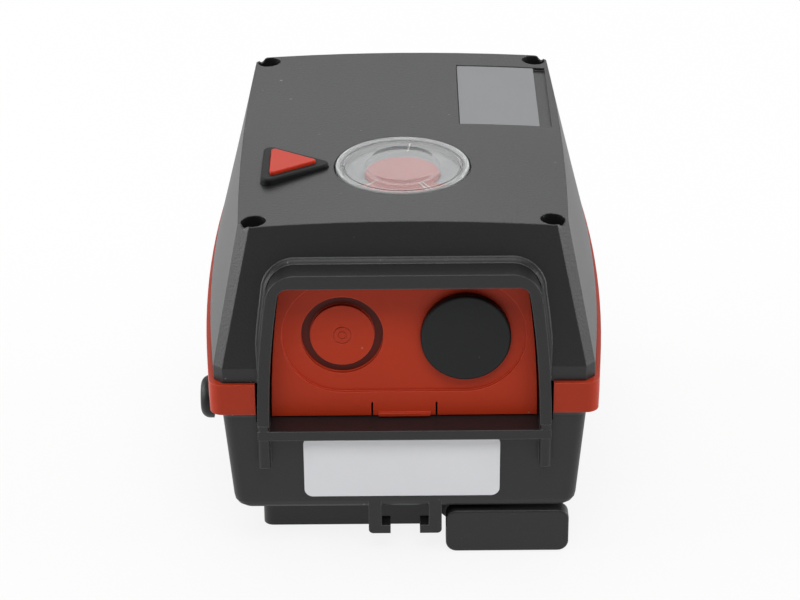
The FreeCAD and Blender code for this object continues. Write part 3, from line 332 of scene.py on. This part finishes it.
def coated_film(name, colour):
    """Printed label stock: satin coat, faint paper tooth and a lifted edge."""
    paint = Paint(name)
    tooth = paint.noise(900.0, 4.0, 0.6)
    cloud = paint.noise(35.0, 2.0, 0.5)
    base = paint.mix(cloud, scaled(colour, 0.96), scaled(colour, 1.03))
    return paint.finish(paint.principled({
        "Base Color": base, "Roughness": 0.36 + (tooth - 0.5) * 0.12,
        "Normal": paint.bump(tooth, 0.12, 0.03 * MM, paint.rounded(0.1 * MM)),
        "Coat Weight": 0.15,
    }))


def foil_plate(name, colour):
    """Satin foil plate rolled along its length."""
    paint = Paint(name)
    lines = paint.noise(420.0, 4.0, 0.65, paint.stretched((6.0, 0.25, 1.0)))
    smudge = paint.noise(60.0, 3.0, 0.6)
    base = paint.mix(lines * 0.6 + smudge * 0.4, scaled(colour, 0.86), scaled(colour, 1.12))
    return paint.finish(paint.principled({
        "Base Color": base, "Metallic": 0.45 + smudge * 0.1,
        "Roughness": 0.42 + (lines - 0.5) * 0.2,
        "Normal": paint.bump(lines, 0.10, 0.03 * MM, paint.rounded(0.1 * MM)),
    }))


def window(name):
    """Clear moulded window that lets light through, faintly milky and whiter in its rim; the
    milky layer is partly the window's own cloudiness and partly a painted reflection of the pale
    surroundings.
    """
    paint = Paint(name)
    x, y, _ = paint.axes()
    reach = (x * x + y * y) ** 0.5
    rim = reach.step(LENS_RIM - 0.35 * MM, LENS_RIM)
    ring = 1.0 - abs(reach - LENS_RING).step(0.10 * MM, 0.35 * MM)
    haze = paint.noise(70.0, 3.0, 0.6)
    scratch = paint.noise(260.0, 2.0, 0.7, paint.stretched((1.0, 7.0, 1.0))).step(0.66, 0.74)
    clear = paint.principled({
        "Base Color": (0.93, 0.94, 0.95, 1.0), "Transmission Weight": 1.0, "IOR": 1.49,
        "Roughness": 0.01 + haze * 0.02 + scratch * 0.08,
        "Specular IOR Level": 0.16,
    })
    # Partly painted reflection: a pale diffuse layer stands in for the surroundings seen in the
    # window.
    milky_and_reflection = paint.principled({
        "Base Color": paint.mix(rim, (0.15, 0.155, 0.155, 1), (0.55, 0.56, 0.56, 1)),
        "Roughness": 0.22 + haze * 0.1, "Specular IOR Level": 0.2,
    })
    share = (0.17 + haze * 0.1 + rim * 0.22 + ring * 0.08).least(0.9)
    body = paint.node("ShaderNodeMixShader", None, {0: share, 1: clear, 2: milky_and_reflection}).out()
    through = paint.node("ShaderNodeBsdfTransparent", None, {"Color": (0.8, 0.8, 0.8, 1)}).out()
    shadow = paint.node("ShaderNodeLightPath").out("Is Shadow Ray")
    whole = paint.node("ShaderNodeMixShader", None, {0: shadow, 1: body, 2: through}).out()
    return paint.finish(whole)


def circuit(name):
    paint = Paint(name)
    x, y, _ = paint.axes()
    tracks = abs(((x + y) * 260.0).part() - 0.5).step(0.30, 0.36)
    weave = paint.noise(1200.0, 2.0, 0.5)
    base = paint.mix(tracks * 0.5, rgb(20, 84, 48), rgb(36, 118, 66))
    return paint.finish(paint.principled({
        "Base Color": base, "Roughness": 0.32 + weave * 0.1, "Coat Weight": 0.3,
        "Normal": paint.bump(tracks, 0.2, 0.04 * MM),
    }))


CASING = rgb(31, 31, 32)
ACCENT = rgb(190, 54, 20)
FINISHES = {
    "casing_plastic": moulded("casing_plastic", CASING, rough=0.43, grain=2.4, edge_highlight_share=0.9,
                              variation=0.07, radius=0.45, specular=0.45),
    "accent_plastic": moulded("accent_plastic", scaled(ACCENT, 0.74), rough=0.46, grain=0.9,
                              edge_highlight_share=0.7, variation=0.05, radius=0.35, specular=0.25),
    "black_plastic": moulded("black_plastic", rgb(27, 28, 29), rough=0.45, grain=1.3,
                             edge_highlight_share=0.6, variation=0.08, radius=0.4, specular=0.28),
    "button_red": moulded("button_red", rgb(178, 44, 20), rough=0.42, grain=0.7,
                          edge_highlight_share=0.35, variation=0.05, radius=0.3, specular=0.2),
    "lens_clear": window("lens_clear"),
    "disc_white": moulded("disc_white", rgb(120, 122, 122), 0.45, 0.3, 0.2, 0.03),
    "label_white": coated_film("label_white", rgb(234, 235, 238)),
    "plate_grey": foil_plate("plate_grey", rgb(118, 119, 121)),
    "rubber_black": rubber("rubber_black", rgb(30, 30, 30)),
    "steel_zinc": metal("steel_zinc", rgb(196, 199, 202), 0.32, (1, 1, 6)),
    "steel_dark": metal("steel_dark", rgb(92, 93, 95), 0.42, (4, 1, 1)),
    "spring_steel": metal("spring_steel", rgb(176, 178, 182), 0.28, (1, 1, 1)),
    "gear_acetal": moulded("gear_acetal", rgb(224, 221, 208), 0.38, 0.4, 0.2, 0.04),
    "gear_steel": metal("gear_steel", rgb(168, 170, 174), 0.38, (1, 1, 8)),
    "bronze": metal("bronze", rgb(196, 152, 92), 0.40, (1, 1, 4)),
    "board_green": circuit("board_green"),
    "terminal_grey": moulded("terminal_grey", rgb(150, 155, 158), 0.48, 0.5, 0.3, 0.05),
    "motor_steel": metal("motor_steel", rgb(186, 188, 190), 0.30, (1, 1, 10)),
    "switch_black": moulded("switch_black", rgb(52, 52, 56), 0.50, 0.5, 0.3, 0.05),
    "cam_white": moulded("cam_white", rgb(228, 227, 220), 0.42, 0.4, 0.2, 0.03),
}


OWN_FINISHES = {
    "entry_panel": moulded("panel_plastic", ACCENT, rough=0.46, grain=0.9, edge_highlight_share=0.8,
                           variation=0.05, radius=0.3, specular=0.25, painted_shade=moat_painted_shade),
    "button_bezel": moulded("bezel_plastic", rgb(24, 25, 25), rough=0.55, grain=1.2,
                            edge_highlight_share=0.7, variation=0.08, radius=0.3, specular=0.18),
}


def finish_nodes():
    for part in frame["record"]["subparts"]:
        mesh = NODES[part["node"]].data
        mesh.materials.clear()
        shared = FINISHES[part["material_slot"]]
        mesh.materials.append(OWN_FINISHES.get(part["node"], shared))


finish_nodes()


# ---- modelled pieces ---------------------------------------------------------------------
def start_editing():
    bpy.ops.object.mode_set(mode="EDIT")
    bpy.ops.mesh.select_all(action="SELECT")


def settle(name, finish, body, angle=35.0):
    """Clean up the piece just modelled, leave its place in its mesh, and hand it over."""
    piece = bpy.context.object
    start_editing()
    bpy.ops.mesh.remove_doubles(threshold=0.002 * MM)
    bpy.ops.mesh.normals_make_consistent(inside=False)
    bpy.ops.object.mode_set(mode="OBJECT")
    bpy.ops.object.transform_apply(location=True, rotation=True, scale=True)
    bpy.ops.object.shade_smooth_by_angle(angle=math.radians(angle))
    piece.name = name
    piece.data.materials.clear()
    piece.data.materials.append(finish)
    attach(piece, body)
    return piece


def lathe(profile, segments=128):
    """Closed turned solid about the output axis, ring by ring from (radius, height) in mm."""
    bpy.ops.object.select_all(action="DESELECT")
    radius, height = profile[0]
    bpy.ops.mesh.primitive_circle_add(vertices=segments, radius=radius * MM, fill_type="NGON",
                                      location=(0, 0, height * MM))
    start_editing()
    for next_radius, next_height in profile[1:]:
        bpy.ops.mesh.extrude_region_move()
        bpy.ops.transform.translate(value=(0, 0, (next_height - height) * MM))
        share = next_radius / radius
        bpy.ops.transform.resize(value=(share, share, 1),
                                 center_override=(0, 0, next_height * MM))
        radius, height = next_radius, next_height
    bpy.ops.object.mode_set(mode="OBJECT")


def lens():
    """Window with a rounded rim, a bead inside it and a faint ring over the disc."""
    low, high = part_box("indicator_lens")
    top, foot, reach = high.z / MM, low.z / MM, high_reach("indicator_lens") - LENS_GAP_MM
    lathe([
        (reach - 0.3, foot), (reach, foot + 0.3), (reach, top - 0.35), (reach - 0.1, top - 0.12),
        (reach - 0.35, top), (reach - 0.6, top - 0.05), (reach - 0.75, top - 0.2),
        (reach - 0.9, top - 0.22), (15.45, top - 0.22), (15.25, top - 0.12), (15.05, top - 0.12),
        (14.85, top - 0.26), (14.6, top - 0.26), (9.65, top - 0.26), (9.45, top - 0.22),
        (9.25, top - 0.22), (9.05, top - 0.26), (8.8, top - 0.26), (0.6, top - 0.26),
    ])
    piece = settle("window_lens", FINISHES["lens_clear"], "casing", 20.0)
    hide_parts("indicator_lens")


def high_reach(node):
    """Largest distance of a node's points from the output axis, in mm."""
    return max(math.hypot(v.co.x, v.co.y) for v in NODES[node].data.vertices) / MM


def lens_marks():
    """Position marks printed under the window: one, one and a pair."""
    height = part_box("indicator_lens")[0].z - 0.10 * MM
    for index, angle in enumerate(MARK_ANGLES):
        bpy.ops.object.select_all(action="DESELECT")
        bpy.ops.mesh.primitive_cube_add(size=1.0, location=(MARK_REACH_MM * MM, 0, height))
        start_editing()
        bpy.ops.transform.resize(value=tuple(side * MM for side in MARK_SIZE_MM))
        bpy.ops.mesh.bevel(offset=0.05 * MM, segments=2, affect="EDGES")
        bpy.ops.object.mode_set(mode="OBJECT")
        bpy.ops.object.transform_apply(location=True, rotation=True, scale=True)
        bpy.context.object.rotation_euler.z = math.radians(angle)
        settle("window_mark_%d" % (index + 1), FINISHES["mark_white"], "casing")


def spring():
    """Return spring on the release rod: a coil of wire."""
    low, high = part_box("return_spring")
    middle_x, middle_y = (low.x + high.x) / 2, (low.y + high.y) / 2
    coil_radius = (high.x - low.x) / 2 - SPRING_WIRE
    length = high.z - low.z
    bpy.ops.object.select_all(action="DESELECT")
    bpy.ops.mesh.primitive_circle_add(vertices=12, radius=SPRING_WIRE, fill_type="NOTHING",
                                      location=(0, 0, 0))
    start_editing()
    bpy.ops.transform.rotate(value=math.pi / 2, orient_axis="X", center_override=(0, 0, 0))
    bpy.ops.transform.translate(value=(coil_radius, 0, 0))
    bpy.ops.object.mode_set(mode="OBJECT")
    coil = bpy.context.object.modifiers.new("coil", "SCREW")
    coil.axis = "Z"
    coil.angle = 2 * math.pi
    coil.iterations = SPRING_COILS
    coil.screw_offset = (length - 2 * SPRING_WIRE) / SPRING_COILS
    coil.steps = coil.render_steps = 32
    bpy.ops.object.modifier_apply(modifier=coil.name)
    start_editing()
    bpy.ops.mesh.fill_holes(sides=0)
    bpy.ops.object.mode_set(mode="OBJECT")
    bpy.context.object.location = (middle_x, middle_y, low.z + SPRING_WIRE)
    piece = settle("release_spring", FINISHES["spring_steel"], "casing")
    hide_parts("return_spring")
    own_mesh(piece)


def wall_depth(z):
    """Y in mm of the cover's leaning front wall at height z in mm."""
    return WALL_FOOT_MM[0] + (z - WALL_FOOT_MM[1]) * WALL_LEAN


def hood_contour():
    """Points and outward directions, in mm, along the hood's outline from leg to leg."""
    bow, corner, corner_z = HOOD_BOW_MM, HOOD_CORNER_MM, HOOD_TOP_MM - HOOD_CORNER_MM

    def side(z):
        return HOOD_HALF_MM - bow + math.sqrt(bow * bow - (z - HOOD_SILL_MM) ** 2)

    lean = math.asin((corner_z - HOOD_SILL_MM) / bow)
    centre = (side(corner_z) - corner * math.cos(lean), corner_z)
    right = []
    for step in range(15):
        z = ROOT_FOOT_MM + (corner_z - ROOT_FOOT_MM) * step / 14
        tilt = math.asin((z - HOOD_SILL_MM) / bow)
        right.append((side(z), z, math.cos(tilt), math.sin(tilt)))
    for step in range(1, 13):
        turn = lean + (math.pi / 2 - lean) * step / 12
        nx, nz = math.cos(turn), math.sin(turn)
        right.append((centre[0] + corner * nx, centre[1] + corner * nz, nx, nz))
    left = [(-x, z, -nx, nz) for x, z, nx, nz in reversed(right)]
    return right + left


def hood_root():
    """Hollow fillet that carries the hood's outside into the leaning wall of the cover."""
    arc_steps = 7
    sections = []
    for x, z, nx, nz in hood_contour():
        front = HOOD_FOOT_MM[0] + (z - HOOD_FOOT_MM[1]) * HOOD_LEAN
        proud = wall_depth(z) - front
        radius = max(ROOT_RADIUS_MM[0], min(ROOT_RADIUS_MM[1], proud * 0.55 - 0.3))
        ring = []
        for step in range(arc_steps + 1):
            turn = math.pi / 2 * step / arc_steps
            out = radius * (1 - math.cos(turn))
            px, pz = x + nx * out, z + nz * out
            ring.append((px, wall_depth(pz) - radius * (1 - math.sin(turn)), pz))
        sideways, inwards = ROOT_SUNK_MM
        ring.append((x - nx * sideways, wall_depth(z) + inwards, z - nz * sideways))
        sections.append(ring)
    count = len(sections[0])
    points = [tuple(c * MM for c in point) for ring in sections for point in ring]
    faces = []
    for row in range(len(sections) - 1):
        for col in range(count):
            a = row * count + col
            b = row * count + (col + 1) % count
            faces.append((a, b, b + count, a + count))
    faces.append(tuple(range(count)))
    faces.append(tuple(range(len(points) - count, len(points))))
    mesh = bpy.data.meshes.new("hood_root")
    mesh.from_pydata(points, [], faces)
    piece = bpy.data.objects.new("hood_root", mesh)
    bpy.context.scene.collection.objects.link(piece)
    bpy.ops.object.select_all(action="DESELECT")
    bpy.context.view_layer.objects.active = piece
    piece.select_set(True)
    settle("hood_root", FINISHES["casing_plastic"], "casing", 60.0)


FINISHES["mark_white"] = moulded("mark_white", rgb(235, 232, 222), 0.4, 0.2, 0.1, 0.02)
lens()
lens_marks()
hood_root()
spring()


# ---- floor and light ---------------------------------------------------------------------
def floor():
    bpy.ops.object.select_all(action="DESELECT")
    bpy.ops.mesh.primitive_plane_add(size=8.0, location=(0, 0, 0))
    plane = bpy.context.object
    plane.name = "floor"
    paint = Paint("floor")
    cloud = paint.noise(3.0)
    pale = paint.mix(cloud, (0.70, 0.70, 0.70, 1), (0.74, 0.74, 0.74, 1))
    ground = paint.node("ShaderNodeBsdfDiffuse", None, {"Color": pale}).out()
    glow = paint.node("ShaderNodeEmission", None, {"Color": (1, 1, 1, 1), "Strength": 1.0}).out()
    rays = paint.node("ShaderNodeLightPath")
    seen = rays.out("Is Camera Ray").most(rays.out("Is Glossy Ray")).most(
        rays.out("Is Transmission Ray"))
    x, y, _ = paint.axes()
    away = ((x * x + y * y) ** 0.5).step(0.25, 1.1)
    share = seen * (0.86 + away * 0.14)
    both = paint.node("ShaderNodeMixShader", None, {0: share, 1: ground, 2: glow}).out()
    plane.data.materials.append(paint.finish(both))


def soft_light(name, place, target, size, power):
    data = bpy.data.lights.new(name, "AREA")
    data.shape = "RECTANGLE"
    data.size, data.size_y = size
    data.energy = power
    lamp = bpy.data.objects.new(name, data)
    bpy.context.scene.collection.objects.link(lamp)
    lamp.location = place
    lamp.rotation_euler = (Vector(target) - Vector(place)).to_track_quat("-Z", "Y").to_euler()


def surroundings():
    """Even pale room: white where it is seen, dim where it lights."""
    world = bpy.data.worlds.new("surroundings")
    bpy.context.scene.world = world
    paint = Paint("surroundings", world)
    dim, bright = (
        paint.node("ShaderNodeBackground", None, {"Color": (1, 1, 1, 1), "Strength": level}).out()
        for level in (0.18, 1.0))
    seen = paint.node("ShaderNodeLightPath").out("Is Camera Ray")
    both = paint.node("ShaderNodeMixShader", None, {0: seen, 1: dim, 2: bright}).out()
    paint.finish(both, "ShaderNodeOutputWorld")


LIT_POINT = (0.0, 0.015, 0.05)
LIGHTS = (  # name, place, size and watts
    ("back_box", (0.0, 1.0, 0.85), (1.6, 0.9), 8.0),
    ("top_box", (0.0, 0.1, 1.2), (1.0, 1.0), 3.5),
    ("left_box", (-0.9, 0.1, 0.30), (0.9, 0.55), 8.0),
    ("right_box", (0.9, 0.1, 0.30), (0.9, 0.55), 6.5),
    ("front_box", (0.0, -0.75, 1.25), (1.0, 0.5), 8.0),
)

floor()
surroundings()
for light_name, place, size, power in LIGHTS:
    soft_light(light_name, place, LIT_POINT, size, power)
